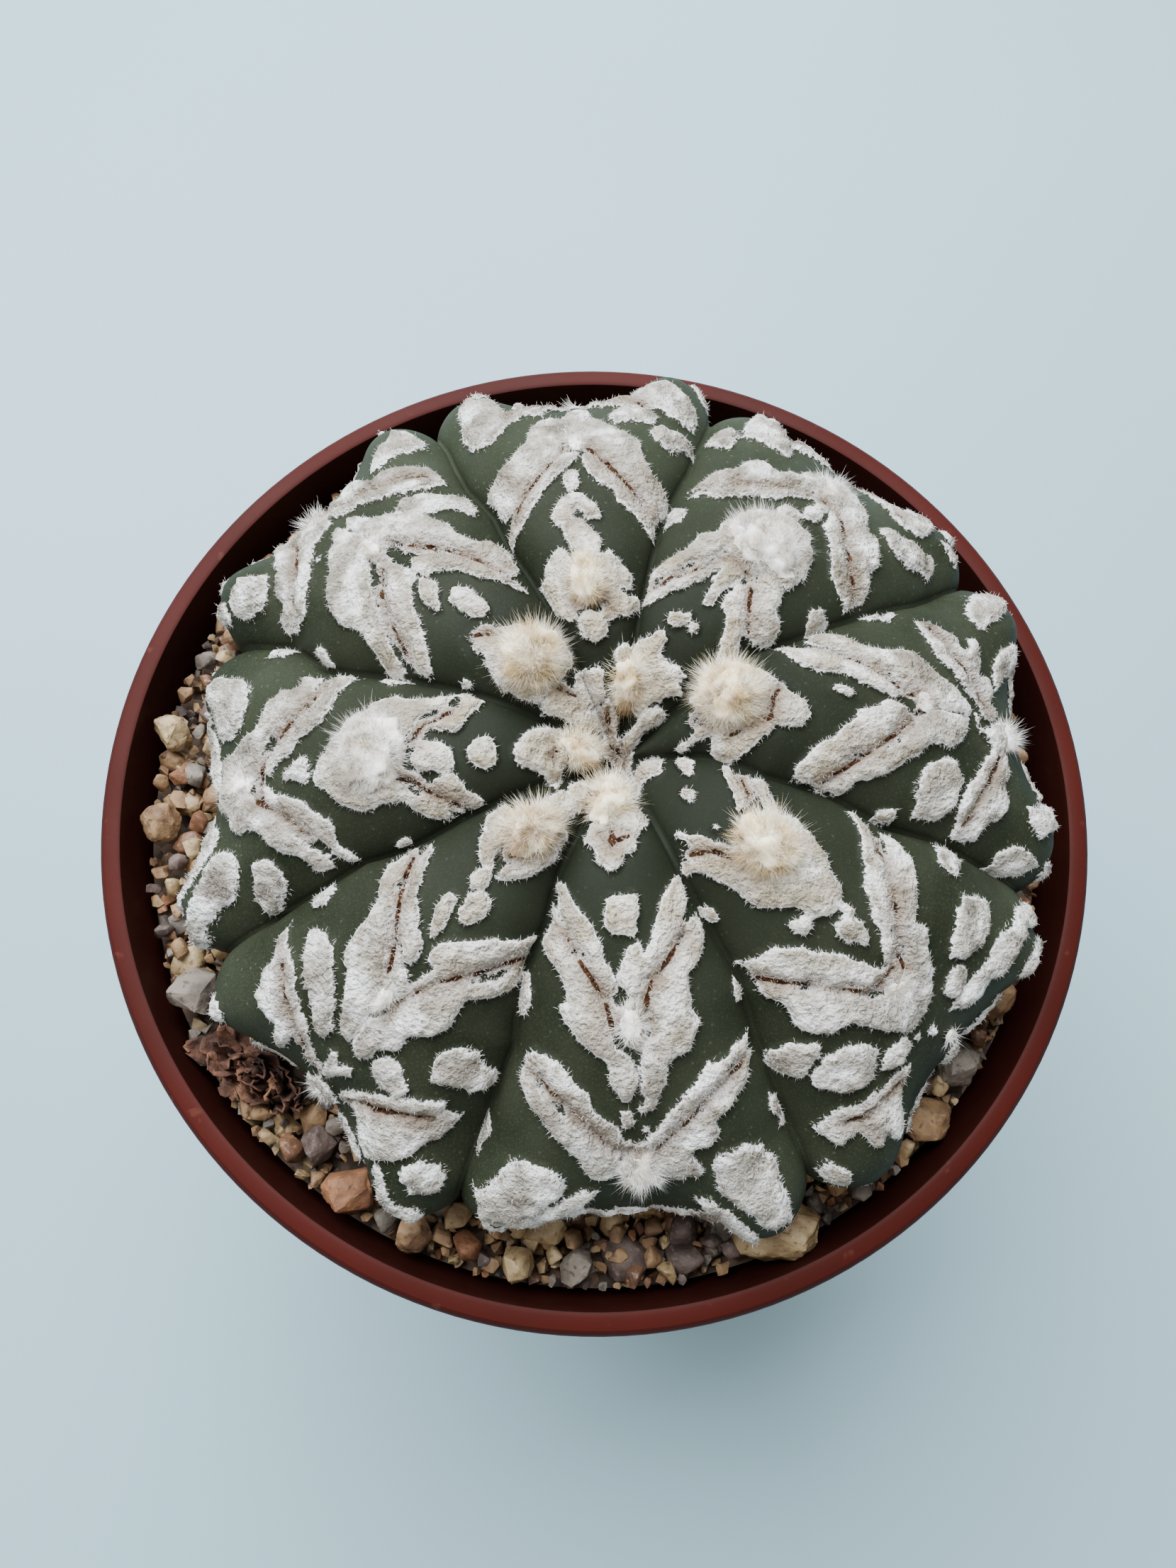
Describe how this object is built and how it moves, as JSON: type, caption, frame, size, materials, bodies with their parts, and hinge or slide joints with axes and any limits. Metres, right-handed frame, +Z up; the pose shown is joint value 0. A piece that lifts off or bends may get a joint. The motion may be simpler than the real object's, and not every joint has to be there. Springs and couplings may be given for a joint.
{
  "type": "potted cactus",
  "caption": "Low round ribbed cactus with white woolly chevron markings, in mineral gravel in a round terracotta-red plastic pot.",
  "frame": {"origin": "middle of the pot's base, on the surface that the pot stands on", "axes": "+Z up along the pot's axis; +Y away from the viewer of the picture, +X to the right"},
  "size_m": [0.1058, 0.1058, 0.1133],
  "materials": {
    "pot_plastic": "satin terracotta-red plastic",
    "gravel": "mixed mineral gravel, matt",
    "stone": "rough natural stone, matt",
    "cactus_skin": "dark green plant skin with white woolly flock",
    "dry_petals": "dry papery brown plant matter"
  },
  "bodies": {
    "root": {"pot": "pot_plastic", "gravel_bed": "gravel", "cactus": "cactus_skin", "dried_flower": "dry_petals", "stone_01": "stone", "stone_02": "stone", "stone_03": "stone", "stone_04": "stone", "stone_05": "stone", "stone_06": "stone", "stone_07": "stone", "stone_08": "stone", "stone_09": "stone", "stone_10": "stone", "stone_11": "stone", "stone_12": "stone"}
  },
  "joints": []
}
